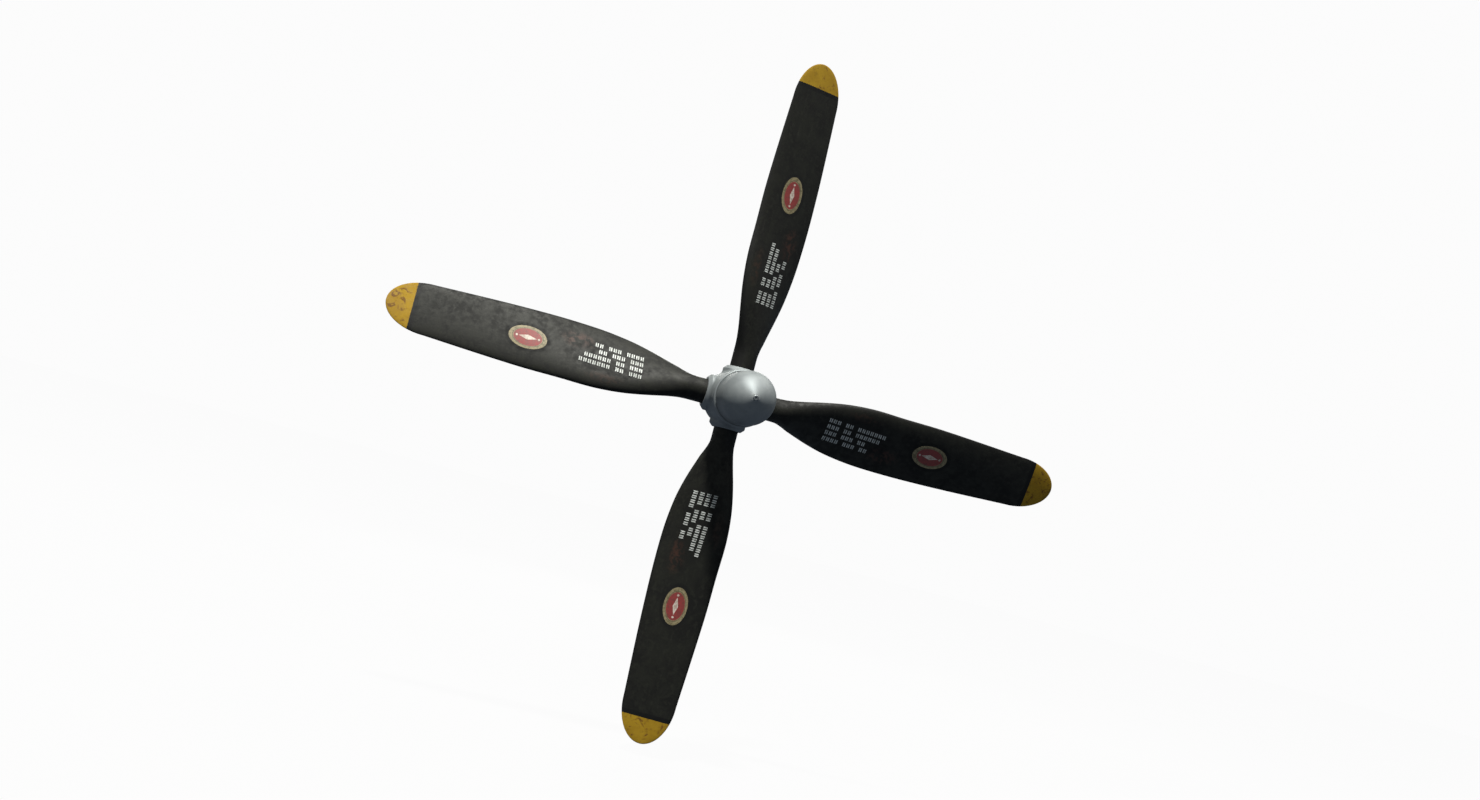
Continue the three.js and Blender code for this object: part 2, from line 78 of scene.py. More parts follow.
def rear_of(node):
    """How far forward the back of a CAD node is."""
    return -corners_of(node)[1][1]


def reach_of(node):
    """How far a CAD node reaches along +X, which is its radius if it is round about the shaft."""
    return corners_of(node)[1][0]


TIP_RADIUS = reach_of("blade_1")
BUTT_INNER = corners_of("blade_1")[0][0]
BODY_FRONT = front_of("barrel_front")
BODY_REAR = rear_of("barrel_rear")
COLLAR_END = reach_of("barrel_front")
DOME_REAR = rear_of("dome_shell")
DOME_TIP = front_of("dome_shell")
DOME_FLANGE = reach_of("dome_shell")
NUT_REAR = rear_of("dome_nut")
NUT_FRONT = front_of("dome_nut")
NUT_RADIUS = reach_of("dome_nut")
PLUG_REAR = rear_of("dome_plug")
PLUG_TIP = front_of("dome_plug")
PLUG_HEAD = reach_of("dome_plug")
CONE_REAR = rear_of("rear_cone")
CONE_FRONT = front_of("rear_cone")
CONE_RADIUS = reach_of("rear_cone")

# ---- Meshes ----

WELD = 1e-6  # metres between points that are joined
EDGE_SEGMENTS = 3
EDGE_ANGLE = math.radians(40)


def linked(name, mesh):
    """A new object in the scene, made of a mesh."""
    obj = bpy.data.objects.new(name, mesh)
    bpy.context.scene.collection.objects.link(obj)
    return obj


def mesh_object(name, points, faces):
    """An object made of points in millimetres. Points that coincide are joined and faces turned outwards."""
    mesh = bpy.data.meshes.new(name)
    mesh.from_pydata((np.asarray(points, float) * MM).tolist(), [], faces)
    shape = bmesh.new()
    shape.from_mesh(mesh)
    bmesh.ops.remove_doubles(shape, verts=shape.verts, dist=WELD)
    bmesh.ops.dissolve_degenerate(shape, edges=shape.edges, dist=WELD / 10)
    bmesh.ops.recalc_face_normals(shape, faces=shape.faces)
    shape.to_mesh(mesh)
    shape.free()
    return linked(name, mesh)


def points_of(obj):
    """The points of an object's mesh, in millimetres."""
    points = np.empty(3 * len(obj.data.vertices))
    obj.data.vertices.foreach_get("co", points)
    return points.reshape(-1, 3) / MM


def store(obj, name, kind, values):
    """Stores a number or a vector for each point of a mesh, for its finish to read."""
    attribute = obj.data.attributes.new(name, kind, "POINT")
    field = "vector" if kind == "FLOAT_VECTOR" else "value"
    attribute.data.foreach_set(field, np.asarray(values, np.float32).ravel())


def grid_faces(rows, columns, around=True, closed=False):
    """Quads between neighbouring rows of points. around joins the last column to the first, and closed joins
    the last row to the first."""
    faces = [
        (
            row * columns + column,
            row * columns + (column + 1) % columns,
            (row + 1) * columns + (column + 1) % columns,
            (row + 1) * columns + column,
        )
        for row in range(rows if closed else rows - 1)
        for column in range(columns if around else columns - 1)
    ]
    return [tuple(corner % (rows * columns) for corner in face) for face in faces]


def circle(count):
    """Even angles all the way round."""
    return np.arange(count) * 2 * math.pi / count


def ring(radius, forward, angles, middle=(0, 0)):
    """Points about an axis along Y. The radius and the distance forward may change from angle to angle."""
    x = middle[0] + radius * np.cos(angles)
    z = middle[1] + radius * np.sin(angles)
    return np.stack([x, -forward + 0 * angles, z], 1)


def turned(name, profile, segments, closed=True):
    """A profile of (radius, forward) pairs turned about the shaft. A closed one joins its last pair to its
    first; one that isn't closed starts and ends on the axis."""
    rings = [ring(radius, forward, circle(segments)) for radius, forward in profile]
    return mesh_object(name, np.concatenate(rings), grid_faces(len(rings), segments, closed=closed))


def smooth(obj, angle=32):
    """Smooth shading that keeps edges sharper than the angle, in degrees."""
    obj.data.polygons.foreach_set("use_smooth", [True] * len(obj.data.polygons))
    obj.data.set_sharp_from_angle(angle=math.radians(angle))


def rounded_edges(obj, width):
    """Rounds the sharp edges of an object. The width is in millimetres."""
    bevel = obj.modifiers.new("rounded_edges", "BEVEL")
    bevel.width = width * MM
    bevel.segments = EDGE_SEGMENTS
    bevel.limit_method = "ANGLE"
    bevel.angle_limit = EDGE_ANGLE
    bevel.harden_normals = True


def apply_modifiers(obj):
    """Makes the shape that an object's modifiers give its own mesh."""
    graph = bpy.context.evaluated_depsgraph_get()
    obj.data = bpy.data.meshes.new_from_object(obj.evaluated_get(graph))
    obj.modifiers.clear()


def install(obj, body, finish, replaced=()):
    """Gives a piece its finish and its place in the frame."""
    obj.data.materials.clear()
    obj.data.materials.append(finish)
    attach(obj, body)
    if replaced:
        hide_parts(*replaced)


# ---- Node trees of the finishes and the sky ----


class Nodes:
    """A node tree, with short names for what the finishes and the sky are made of."""

    def __init__(self, tree):
        self.tree = tree

    def add(self, kind, **settings):
        """A new node with its settings."""
        node = self.tree.nodes.new(kind)
        for name, value in settings.items():
            setattr(node, name, value)
        return node

    def feed(self, socket, value):
        """Links an input to another node's output, or sets its value."""
        if isinstance(value, bpy.types.NodeSocket):
            self.tree.links.new(value, socket)
        else:
            socket.default_value = value

    def math(self, operation, *values):
        """The result of one calculation with numbers or other nodes' outputs."""
        node = self.add("ShaderNodeMath", operation=operation)
        for socket, value in zip(node.inputs, values):
            self.feed(socket, value)
        return node.outputs[0]

    def plus(self, first, second):
        return self.math("ADD", first, second)

    def minus(self, first, second):
        return self.math("SUBTRACT", first, second)

    def times(self, first, second):
        return self.math("MULTIPLY", first, second)

    def larger(self, first, second):
        return self.math("MAXIMUM", first, second)

    def unsigned(self, value):
        return self.math("ABSOLUTE", value)

    def length(self, first, second):
        """The length of a vector with the two parts."""
        squares = [self.math("POWER", part, 2.0) for part in (first, second)]
        return self.math("SQRT", self.plus(*squares))

    def fade(self, value, low, high, start=0.0, end=1.0):
        """start where value is low, end where it is high, and a smooth change between."""
        node = self.add("ShaderNodeMapRange", interpolation_type="SMOOTHSTEP")
        limits = {"Value": value, "From Min": low, "From Max": high, "To Min": start, "To Max": end}
        for name, number in limits.items():
            self.feed(node.inputs[name], number)
        return node.outputs["Result"]

    def mix(self, share, first, second):
        """The first colour where the share is 0 and the second where it is 1."""
        node = self.add("ShaderNodeMix", data_type="RGBA")
        self.feed(node.inputs[0], share)
        for socket, colour in ((node.inputs[6], first), (node.inputs[7], second)):
            self.feed(socket, colour if isinstance(colour, bpy.types.NodeSocket) else (*colour, 1.0))
        return node.outputs[2]


class Finish(Nodes):
    """A Principled material that varies over the surface, by the object's coordinates or by an attribute of
    its mesh. Colours are linear."""

    def __init__(self, name, attribute=None):
        self.material = bpy.data.materials.new(name)
        self.material.use_nodes = True
        super().__init__(self.material.node_tree)
        self.shader = self.tree.nodes["Principled BSDF"]
        if attribute:
            self.place = self.attribute(attribute, "Vector")
        else:
            self.place = self.add("ShaderNodeTexCoord").outputs["Object"]

    def set(self, **values):
        """Sets or links the shader's sockets: base_color stands for Base Color."""
        for name, value in values.items():
            socket = name.replace("_", " ").title().replace("Ior", "IOR")
            self.feed(self.shader.inputs[socket], value)

    def attribute(self, name, output):
        """What is stored for each point of the mesh: "Vector" for a vector and "Fac" for a number."""
        return self.add("ShaderNodeAttribute", attribute_name=name).outputs[output]

    def parts(self, vector):
        """The first two parts of a vector."""
        node = self.add("ShaderNodeSeparateXYZ")
        self.feed(node.inputs[0], vector)
        return node.outputs[0], node.outputs[1]

    def noise(self, scale, detail=4.0, roughness=0.55, stretch=None, distortion=0.0):
        """A noise with so many waves to the metre, or more along an axis that is stretched past 1."""
        node = self.add("ShaderNodeTexNoise")
        settings = {
            "Vector": self.stretched(stretch) if stretch else self.place,
            "Scale": scale,
            "Detail": detail,
            "Roughness": roughness,
            "Distortion": distortion,
        }
        for name, value in settings.items():
            self.feed(node.inputs[name], value)
        return node.outputs[0]

    def stretched(self, scale):
        """The place on the surface, multiplied along each axis."""
        node = self.add("ShaderNodeMapping")
        self.feed(node.inputs["Vector"], self.place)
        self.feed(node.inputs["Scale"], scale)
        return node.outputs["Vector"]

    def over(self, base, colour, share, opacity):
        """A colour laid over another where the share is 1, with the given opacity there."""
        return self.mix(self.times(share, opacity), base, colour)

    def ragged(self, distance, noise, depth):
        """A distance made uneven by a noise, over a depth in metres."""
        return self.plus(distance, self.times(self.minus(noise, 0.5), depth))

    def oval(self, place, patch):
        """1 on the edge of an oval patch, less inside it and more outside. place is out and across."""
        offsets = [
            self.math("DIVIDE", self.minus(value, middle * MM), half * MM)
            for value, middle, half in zip(place, *patch)
        ]
        return self.length(*offsets)

    def pointiness(self):
        """About 0.5 where the surface is flat, more on its outer edges and less in its inner corners."""
        return self.add("ShaderNodeNewGeometry").outputs["Pointiness"]

    def bump(self, height, distance, strength):
        """Small relief in the surface. The distance is in metres."""
        node = self.add("ShaderNodeBump")
        self.feed(node.inputs["Height"], height)
        self.feed(node.inputs["Distance"], distance)
        self.feed(node.inputs["Strength"], strength)
        self.feed(self.shader.inputs["Normal"], node.outputs["Normal"])


# ---- Paint on the blades ----

TIP_PAINT_START = 0.9275 * TIP_RADIUS

# Widths in metres, as the finishes take them: where each layer starts to show and where it is full.
BAND_START, BAND_FULL = 0.027, 0.020
# Painted shade along the blade's edges: where it starts to show and where it is full.
EDGE_SHADE_START, EDGE_SHADE_FULL = 0.017, 0.005
MARKS_START, MARKS_FULL = 0.004, 0.030
FRONT_START, FRONT_FULL = 0.0, 0.02
TIP_EDGE = 0.0006
TIP_WAVER = 0.002
# how ragged the painted shade along the edges is, in metres
EDGE_SHADE_WAVER = 0.02

# Ovals on each blade: their middle and half their size, each out and across.
EMBLEM_CENTRE = (1122.6, -27)
EMBLEM_PATCH = (EMBLEM_CENTRE, (115, 72))
STENCIL_PATCH = ((682, -24), (215, 82))
RUST_PATCH = ((860, -85), (100, 45))
SMALL_RUST_PATCH = ((700, 75), (110, 30))

SOOTY_BLACK = (0.0040, 0.0040, 0.0032)
FADED_BLACK = (0.0125, 0.0128, 0.0098)
CHALKY_BLACK = (0.0200, 0.0205, 0.0155)
SCUFFED_BLACK = (0.032, 0.032, 0.025)
NEW_BLACK = (0.0032, 0.0032, 0.0030)
BAND_BLACK = (0.0028, 0.0028, 0.0028)
# painted shade along the blade's edges
EDGE_SHADE_BLACK = (0.0026, 0.0026, 0.0024)
RUST = (0.052, 0.022, 0.015)
YELLOW = (0.350, 0.210, 0.009)
FADED_YELLOW = (0.275, 0.155, 0.005)
BROWN_MARKS = (0.105, 0.036, 0.006)
YELLOW_GRIME = (0.085, 0.050, 0.010)


def weathered_black(finish, clouds, mottle, scuffs):
    """Black that has faded in clouds, turned chalky in spots and been scuffed along the blade."""
    black = finish.mix(finish.fade(clouds, 0.36, 0.64), SOOTY_BLACK, FADED_BLACK)
    black = finish.mix(finish.fade(mottle, 0.48, 0.66, end=0.6), black, CHALKY_BLACK)
    return finish.mix(finish.fade(scuffs, 0.58, 0.76, end=0.5), black, SCUFFED_BLACK)


def rust_share(finish, place, mottle):
    """Where rust has stained the blade: two soft patches, broken up into spots."""
    stain = finish.fade(finish.oval(place, RUST_PATCH), 1.25, 0.2)
    small_stain = finish.fade(finish.oval(place, SMALL_RUST_PATCH), 1.2, 0.3, end=0.4)
    return finish.times(finish.larger(stain, small_stain), finish.fade(mottle, 0.42, 0.6))


def new_paint_share(finish, place, signed_rim):
    """Where the black is fresh, round the emblem and the stencilled rows. Only the front has those."""
    round_emblem = finish.fade(finish.oval(place, EMBLEM_PATCH), 1.12, 0.98)
    round_stencil = finish.fade(finish.oval(place, STENCIL_PATCH), 1.1, 0.9, end=0.6)
    on_front = finish.fade(signed_rim, FRONT_START, FRONT_FULL)
    return finish.times(finish.larger(round_emblem, round_stencil), on_front)


def scuffed_yellow(finish, clouds, mottle, rim):
    """Yellow with brown marks that stop short of the blade's edge."""
    yellow = finish.mix(finish.fade(clouds, 0.35, 0.7), YELLOW, FADED_YELLOW)
    marks = finish.noise(21.0, detail=7.0, roughness=0.72, distortion=1.0)
    marks = finish.times(finish.fade(marks, 0.53, 0.63, end=0.85), finish.fade(rim, MARKS_START, MARKS_FULL))
    yellow = finish.mix(marks, yellow, BROWN_MARKS)
    return finish.mix(finish.fade(mottle, 0.6, 0.8, end=0.5), yellow, YELLOW_GRIME)


def blade_paint():
    """Matt black with grey-green weathering, rusty stains and painted shade along the edges, and a scuffed
    yellow tip.

    It follows two attributes of the mesh. "place" is the distance out and across, and a third number that
    sets each face and each blade apart. "rim" is the distance from the blade's edge, negative on the back.
    """
    finish = Finish("blade_paint", "place")
    place = finish.parts(finish.place)
    out = place[0]
    signed_rim = finish.attribute("rim", "Fac")
    rim = finish.unsigned(signed_rim)
    clouds = finish.noise(9.0, detail=8.0, roughness=0.66, distortion=0.5)
    mottle = finish.noise(38.0, detail=5.0, roughness=0.6)
    grain = finish.noise(160.0, detail=4.0, roughness=0.7)
    scuffs = finish.noise(26.0, detail=6.0, roughness=0.7, stretch=(0.5, 2.4, 1.0))

    # Fresh black lies round the marks and in a band inside the yellow. A ragged border of painted shade
    # darkens the blade along its edges.
    paint_line = TIP_PAINT_START * MM
    new_paint = new_paint_share(finish, place, signed_rim)
    band = finish.fade(out, paint_line - BAND_START, paint_line - BAND_FULL)
    painted_edge_shade = finish.fade(finish.ragged(rim, mottle, EDGE_SHADE_WAVER), EDGE_SHADE_START, EDGE_SHADE_FULL)
    black = weathered_black(finish, clouds, mottle, scuffs)
    black = finish.over(black, RUST, rust_share(finish, place, mottle), 0.8)
    black = finish.over(black, NEW_BLACK, new_paint, 0.8)
    black = finish.over(black, BAND_BLACK, band, 0.85)
    # painted shade darkens the blade along its edges
    black = finish.over(black, EDGE_SHADE_BLACK, painted_edge_shade, 0.8)

    yellow = scuffed_yellow(finish, clouds, mottle, rim)
    on_tip = finish.fade(finish.ragged(out, mottle, TIP_WAVER), paint_line - TIP_EDGE, paint_line + TIP_EDGE)
    finish.set(base_color=finish.mix(on_tip, black, yellow))

    roughness = finish.fade(finish.plus(clouds, mottle), 0.8, 1.2, start=0.64, end=0.44)
    roughness = finish.plus(roughness, finish.times(finish.larger(new_paint, painted_edge_shade), 0.1))
    roughness = finish.plus(roughness, finish.times(on_tip, 0.12))
    finish.set(roughness=finish.plus(roughness, finish.fade(scuffs, 0.5, 0.8, end=0.06)))
    finish.set(specular_ior_level=0.27)
    finish.bump(finish.plus(grain, finish.times(clouds, 3.0)), 0.0005, 0.5)
    return finish.material


STENCIL_WHITE = (0.60, 0.62, 0.60)
DIRTY_WHITE = (0.38, 0.40, 0.38)
CHIPPED_BLACK = (0.05, 0.05, 0.046)


def stencil_paint():
    """Thin off-white paint through a stencil, chipped so that the black shows."""
    finish = Finish("stencil_paint")
    chips = finish.noise(150.0, detail=6.0, roughness=0.75)
    dirt = finish.noise(30.0, detail=5.0)
    white = finish.mix(finish.fade(dirt, 0.35, 0.7), STENCIL_WHITE, DIRTY_WHITE)
    finish.set(base_color=finish.mix(finish.fade(chips, 0.55, 0.63), white, CHIPPED_BLACK))
    finish.set(roughness=finish.fade(dirt, 0.3, 0.7, start=0.5, end=0.66))
    finish.bump(chips, 0.0002, 0.5)
    return finish.material


GOLD, WORN_GOLD = (0.28, 0.235, 0.135), (0.115, 0.094, 0.045)
RED, WORN_RED = (0.25, 0.038, 0.036), (0.135, 0.040, 0.034)
CREAM, WORN_CREAM = (0.60, 0.54, 0.47), (0.34, 0.24, 0.19)
LINE_BROWN = (0.05, 0.04, 0.02)
WORN_THROUGH = (0.03, 0.028, 0.024)

# Sizes in the oval, whose ends and sides are at 1. A pair is a soft edge.
FIELD_EDGE = (0.74, 0.76)
LINE_INNER, LINE_OUTER = (0.775, 0.79), (0.83, 0.815)
LOZENGE_EDGE = (0.49, 0.46)
LOZENGE_SLOPE = 2.1
DOT_EDGE = (0.065, 0.05)
DOT_CENTRE = 0.58
DOT_STRETCH = 0.6  # about the oval's width over its length, which makes the dots round


def emblem_print():
    """A plain oval transfer: a dull gold rim with a dark line in it, a red field, and a pale lozenge with a
    dot beyond each end. It follows the attribute "oval": the place in the oval, with 1 at its ends and sides.
    """
    finish = Finish("emblem_print")
    along, across = finish.parts(finish.attribute("oval", "Vector"))
    from_middle = finish.length(along, across)
    wear = finish.noise(70.0, detail=6.0, roughness=0.7)
    gold = finish.mix(finish.fade(wear, 0.4, 0.68), GOLD, WORN_GOLD)
    red = finish.mix(finish.fade(wear, 0.42, 0.7), RED, WORN_RED)
    cream = finish.mix(finish.fade(wear, 0.42, 0.66), CREAM, WORN_CREAM)

    print_colour = finish.mix(finish.fade(from_middle, *FIELD_EDGE), red, gold)
    line = finish.times(finish.fade(from_middle, *LINE_INNER), finish.fade(from_middle, *LINE_OUTER))
    print_colour = finish.over(print_colour, LINE_BROWN, line, 0.7)
    slope = finish.plus(finish.unsigned(along), finish.times(finish.unsigned(across), LOZENGE_SLOPE))
    print_colour = finish.mix(finish.fade(slope, *LOZENGE_EDGE), print_colour, cream)
    past_dot = finish.minus(finish.unsigned(along), DOT_CENTRE)
    from_dot = finish.length(past_dot, finish.times(across, DOT_STRETCH))
    print_colour = finish.mix(finish.fade(from_dot, *DOT_EDGE), print_colour, cream)

    finish.set(base_color=finish.mix(finish.fade(wear, 0.66, 0.76, end=0.8), print_colour, WORN_THROUGH))
    finish.set(roughness=finish.fade(wear, 0.35, 0.7, start=0.34, end=0.52))
    finish.bump(wear, 0.0002, 0.35)
    return finish.material


# ---- Paint, metal and rubber of the hub ----

LACQUER = (0.210, 0.230, 0.240)
PALE_LACQUER = (0.255, 0.275, 0.282)
STREAK_GREY = (0.15, 0.163, 0.165)
WORN_EDGE_GREY = (0.46, 0.48, 0.49)
# darker grey for the inner corners
CORNER_DARK_GREY = (0.045, 0.048, 0.05)


def hub_paint():
    """Satin blue-grey metallic lacquer, dulled in patches, worn on the edges and darker in the inner corners.
    """
    finish = Finish("hub_paint")
    clouds = finish.noise(11.0, detail=6.0, roughness=0.6)
    grain = finish.noise(170.0, detail=4.0, roughness=0.6)
    streaks = finish.noise(34.0, detail=6.0, roughness=0.65, stretch=(1.0, 0.35, 1.0))
    paint = finish.mix(finish.fade(clouds, 0.35, 0.68), LACQUER, PALE_LACQUER)
    paint = finish.mix(finish.fade(streaks, 0.56, 0.78, end=0.35), paint, STREAK_GREY)
    worn = finish.times(finish.fade(finish.pointiness(), 0.51, 0.57), finish.fade(grain, 0.42, 0.6))
    paint = finish.over(paint, WORN_EDGE_GREY, worn, 0.6)
    # darker in the inner corners
    paint = finish.over(paint, CORNER_DARK_GREY, finish.fade(finish.pointiness(), 0.49, 0.44), 0.6)
    finish.set(base_color=paint, metallic=0.5, specular_ior_level=0.5)
    finish.set(roughness=finish.fade(clouds, 0.3, 0.72, start=0.56, end=0.66))
    finish.bump(finish.plus(grain, finish.times(clouds, 0.6)), 0.0004, 0.3)
    return finish.material


def shaded(colour, factor):
    """A colour made darker or lighter, up to white."""
    return tuple(min(1.0, factor * part) for part in colour)


def bare_metal(name, light, dark, roughness, tooling=90.0):
    """Machined metal with fine tool marks, darker oil stains and brighter edges."""
    finish = Finish(name)
    clouds = finish.noise(18.0, detail=6.0, roughness=0.6)
    marks = finish.noise(tooling, detail=5.0, roughness=0.7, stretch=(1.0, 6.0, 1.0))
    stains = finish.fade(finish.noise(42.0, detail=5.0), 0.6, 0.75, end=0.5)
    edges = finish.fade(finish.pointiness(), 0.5, 0.56)
    colour = finish.mix(finish.fade(clouds, 0.35, 0.7), light, dark)
    colour = finish.mix(stains, colour, shaded(dark, 0.45))
    colour = finish.over(colour, shaded(light, 1.35), edges, 0.5)
    finish.set(base_color=colour, metallic=1.0)
    finish.set(roughness=finish.fade(marks, 0.3, 0.75, start=roughness - 0.07, end=roughness + 0.12))
    finish.bump(marks, 0.0003, 0.4)
    return finish.material


RUBBER_BLACK = (0.012, 0.012, 0.012)
RUBBER_BLOOM = (0.045, 0.044, 0.042)


def seal_rubber():
    """Black packing with a dry bloom and fine pitting."""
    finish = Finish("seal_rubber")
    bloom = finish.noise(45.0, detail=6.0, roughness=0.7)
    pits = finish.noise(420.0, detail=3.0)
    finish.set(base_color=finish.mix(finish.fade(bloom, 0.45, 0.75), RUBBER_BLACK, RUBBER_BLOOM))
    finish.set(roughness=finish.fade(bloom, 0.4, 0.7, start=0.62, end=0.82))
    finish.bump(pits, 0.0003, 0.5)
    return finish.material


BLADE_PAINT = blade_paint()
STENCIL_PAINT = stencil_paint()
EMBLEM_PRINT = emblem_print()
HUB_PAINT = hub_paint()
STEEL = bare_metal("machined_steel", (0.52, 0.53, 0.54), (0.36, 0.37, 0.39), 0.34)
GEAR_STEEL = bare_metal("gear_steel", (0.40, 0.41, 0.43), (0.22, 0.23, 0.25), 0.3, tooling=140.0)
DARK_STEEL = bare_metal("blackened_steel", (0.11, 0.115, 0.12), (0.05, 0.052, 0.055), 0.45)
PLUG_STEEL = bare_metal("dulled_steel", (0.27, 0.29, 0.30), (0.18, 0.195, 0.205), 0.5)
BRONZE = bare_metal("bearing_bronze", (0.62, 0.43, 0.21), (0.42, 0.27, 0.12), 0.33)
ALLOY = bare_metal("machined_alloy", (0.76, 0.77, 0.78), (0.60, 0.61, 0.63), 0.32)
RUBBER = seal_rubber()
SLOT_FINISHES = {
    "blade_finish": BLADE_PAINT,
    "hub_paint": HUB_PAINT,
    "steel": STEEL,
    "gear_steel": GEAR_STEEL,
    "bronze": BRONZE,
    "alloy": ALLOY,
    "seal_rubber": RUBBER,
}

# ---- Shape of a blade ----

SHANK_RADIUS = 65
SHANK_END = 0.12
AEROFOIL_START = 0.4
TIP_START = 0.88
# By fraction of the tip radius: the chord to each side of the blade's axis, the thickness and the pitch.
LEADING_CHORD = [
    (SHANK_END, SHANK_RADIUS), (0.135, 66), (0.155, 74), (0.18, 88), (0.25, 125), (0.32, 149), (0.4, 157),
    (0.5, 148), (0.62, 141), (TIP_START, 112),
]
TRAILING_CHORD = [
    (SHANK_END, SHANK_RADIUS), (0.135, 68), (0.155, 84), (0.18, 108), (0.25, 155), (0.32, 184), (0.42, 198),
    (0.62, 191), (TIP_START, 170),
]
THICKNESS = [
    (SHANK_END, 2 * SHANK_RADIUS), (0.14, 129), (0.2, 104), (0.3, 67), (0.4, 45), (0.6, 26), (0.8, 16),
    (1, 7),
]
PITCH_DEGREES = [
    (SHANK_END, 41), (0.14, 40.7), (0.25, 35.5), (0.45, 26.5), (0.575, 22), (0.75, 19), (1, 17),
]
ROOT_PITCH = math.radians(PITCH_DEGREES[0][1])
FRONT_CAMBER = 0.78  # share of the thickness ahead of the chord line
FULLNESS = 0.35  # moves the thickest point towards the leading edge

BORE_RADIUS = 38
BORE_END = 250
BOSS_RADIUS = 56
FLANGE_RADIUS = 76
FLANGE_START = 94
FLANGE_END = 104
BUTT = [
    (0, BORE_END), (BORE_RADIUS, BORE_END), (BORE_RADIUS, BUTT_INNER), (BOSS_RADIUS, BUTT_INNER),
    (BOSS_RADIUS, FLANGE_START), (FLANGE_RADIUS, FLANGE_START), (FLANGE_RADIUS, FLANGE_END),
    (SHANK_RADIUS, FLANGE_END),
]

SECTION_POINTS = 96
BODY_STATIONS = 120
TIP_STATIONS = 36
PAINT_SHIFT = 1.7  # metres in the noise between one blade's paint and the next's
FACE_SAMPLES = 400
FACE_MARGIN = 0.02  # radians from the edges of the front face
PAINT_LIFT = 0.35
PAINT_DEPTH = 0.3


def eased(share):
    """A smooth step from 0 to 1."""
    return share**2 * (3 - 2 * share)


def along(pairs, places):
    """Smooth values between (place, value) pairs: cubics with the mean slope at each pair."""
    at, value = np.array(pairs, float).T
    before = np.maximum(np.arange(len(at)) - 1, 0)
    after = np.minimum(np.arange(len(at)) + 1, len(at) - 1)
    slope = (value[after] - value[before]) / (at[after] - at[before])
    places = np.clip(places, at[0], at[-1])
    piece = np.clip(np.searchsorted(at, places) - 1, 0, len(at) - 2)
    span = at[piece + 1] - at[piece]
    share = (places - at[piece]) / span
    bend = share * (1 - share) * ((1 - share) * slope[piece] - share * slope[piece + 1]) * span
    return value[piece] + (value[piece + 1] - value[piece]) * eased(share) + bend


def tip_rounding(fraction):
    """The share of the chord that is left as the tip rounds off."""
    share = np.clip((fraction - TIP_START) / (1 - TIP_START), 0, 1)
    return np.sqrt(1 - share**2)


def chord_span(fraction):
    """The middle of the chord, measured from the blade's axis, and half its length."""
    leading = along(LEADING_CHORD, fraction)
    trailing = along(TRAILING_CHORD, fraction)
    return (leading - trailing) / 2, (leading + trailing) / 2 * tip_rounding(fraction)


def blade_skin(fraction, angle):
    """Points on the +X blade's skin, from fractions of the tip radius and angles round the section. The
    section is round at the shank and turns into an aerofoil, with more of its thickness on the front."""
    pitch = np.radians(along(PITCH_DEGREES, fraction))
    middle, half = chord_span(fraction)
    thickness = along(THICKNESS, fraction) * np.sqrt(tip_rounding(fraction))
    chord = middle + half * np.cos(angle)
    front_share = FRONT_CAMBER * (1 + FULLNESS * np.cos(angle))
    camber = np.where(np.sin(angle) > 0, front_share, 1 - FRONT_CAMBER)
    aerofoil = eased(np.clip((fraction - SHANK_END) / (AEROFOIL_START - SHANK_END), 0, 1))
    height = thickness * np.sin(angle) * (0.5 + (camber - 0.5) * aerofoil)
    across = chord * np.cos(pitch) - height * np.sin(pitch)
    forward = chord * np.sin(pitch) + height * np.cos(pitch)
    return np.stack([fraction * TIP_RADIUS, -forward, across], -1)


def on_front_face(out, across):
    """Points just clear of the front of the +X blade, from distances out and across."""
    angles = np.linspace(FACE_MARGIN, math.pi - FACE_MARGIN, FACE_SAMPLES)
    found = []
    for distance, side in zip(np.ravel(out), np.ravel(across)):
        fraction = distance / TIP_RADIUS
        skin = blade_skin(np.full_like(angles, fraction), angles)
        nearest = np.interp(-side, -skin[:, 2], angles)
        found.append(blade_skin(np.array([fraction]), np.array([nearest]))[0])
    return np.array(found) - [0, PAINT_LIFT, 0]


def rim_distance(points):
    """How far points on the +X blade's skin are from its edges, along the chord. Negative on the back."""
    out, across, forward = points[:, 0], points[:, 2], -points[:, 1]
    fraction = np.clip(out / TIP_RADIUS, 0, 1)
    pitch = np.radians(along(PITCH_DEGREES, fraction))
    middle, half = chord_span(fraction)
    distance = half - np.abs(across * np.cos(pitch) + forward * np.sin(pitch) - middle)
    on_front = forward * np.cos(pitch) > across * np.sin(pitch)
    return np.where(on_front, distance, -distance)


def butt_ring(radius, out):
    """A ring about the +X blade's axis, starting at the leading edge as the sections do."""
    angles = circle(SECTION_POINTS) + ROOT_PITCH
    return np.stack([np.full(SECTION_POINTS, out), -radius * np.sin(angles), radius * np.cos(angles)], 1)


def turn_to_blade(obj, index):
    """Turns a mesh made for the blade along +X to another blade."""
    obj.data.transform(Matrix.Rotation(-index * QUARTER, 4, "Y"))


def blade_mesh(index):
    """The whole blade: bored butt, round shank, and the blade itself out to its rounded tip."""
    body = np.linspace(SHANK_END, TIP_START, BODY_STATIONS, endpoint=False)
    tip = TIP_START + (1 - TIP_START) * np.sin(np.linspace(0, QUARTER, TIP_STATIONS))
    angles = circle(SECTION_POINTS)
    rows = [butt_ring(radius, out) for radius, out in BUTT]
    rows += [blade_skin(np.full(SECTION_POINTS, fraction), angles) for fraction in [*body, *tip]]
    faces = grid_faces(len(rows), SECTION_POINTS)
    obj = mesh_object(f"painted_blade_{index + 1}", np.concatenate(rows), faces)
    points = points_of(obj)
    out, y, across = points.T * MM
    store(obj, "place", "FLOAT_VECTOR", np.stack([out, across, y + PAINT_SHIFT * index], 1))
    store(obj, "rim", "FLOAT", rim_distance(points) * MM)
    turn_to_blade(obj, index)
    smooth(obj, 40)
    return obj


# ---- Marks painted on a blade ----

